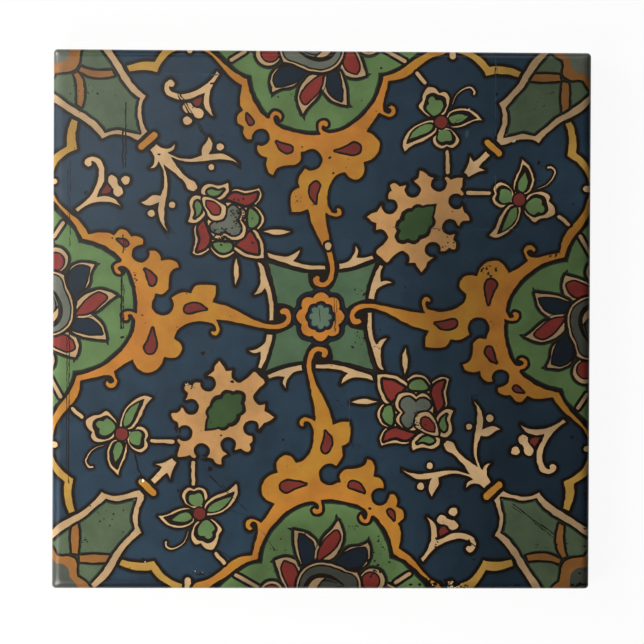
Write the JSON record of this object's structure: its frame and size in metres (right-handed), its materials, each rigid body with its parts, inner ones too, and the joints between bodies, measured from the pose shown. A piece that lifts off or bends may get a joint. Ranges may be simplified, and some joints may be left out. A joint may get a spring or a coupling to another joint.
{
  "type": "ceramic tile",
  "caption": "Square glazed ceramic wall tile with a cushioned face edge, a keyed back and a painted arabesque pattern of scrolls, palmettes and leaves.",
  "frame": {"origin": "centre of the back plane, which the tile lies on", "axes": "+Z out through the glazed face, +X and +Y along the sides, +Y towards the top of the pattern"},
  "size_m": [0.108, 0.108, 0.0064],
  "materials": {
    "glazed_tile": "gloss"
  },
  "bodies": {
    "root": {"tile": "glazed_tile"}
  },
  "joints": []
}
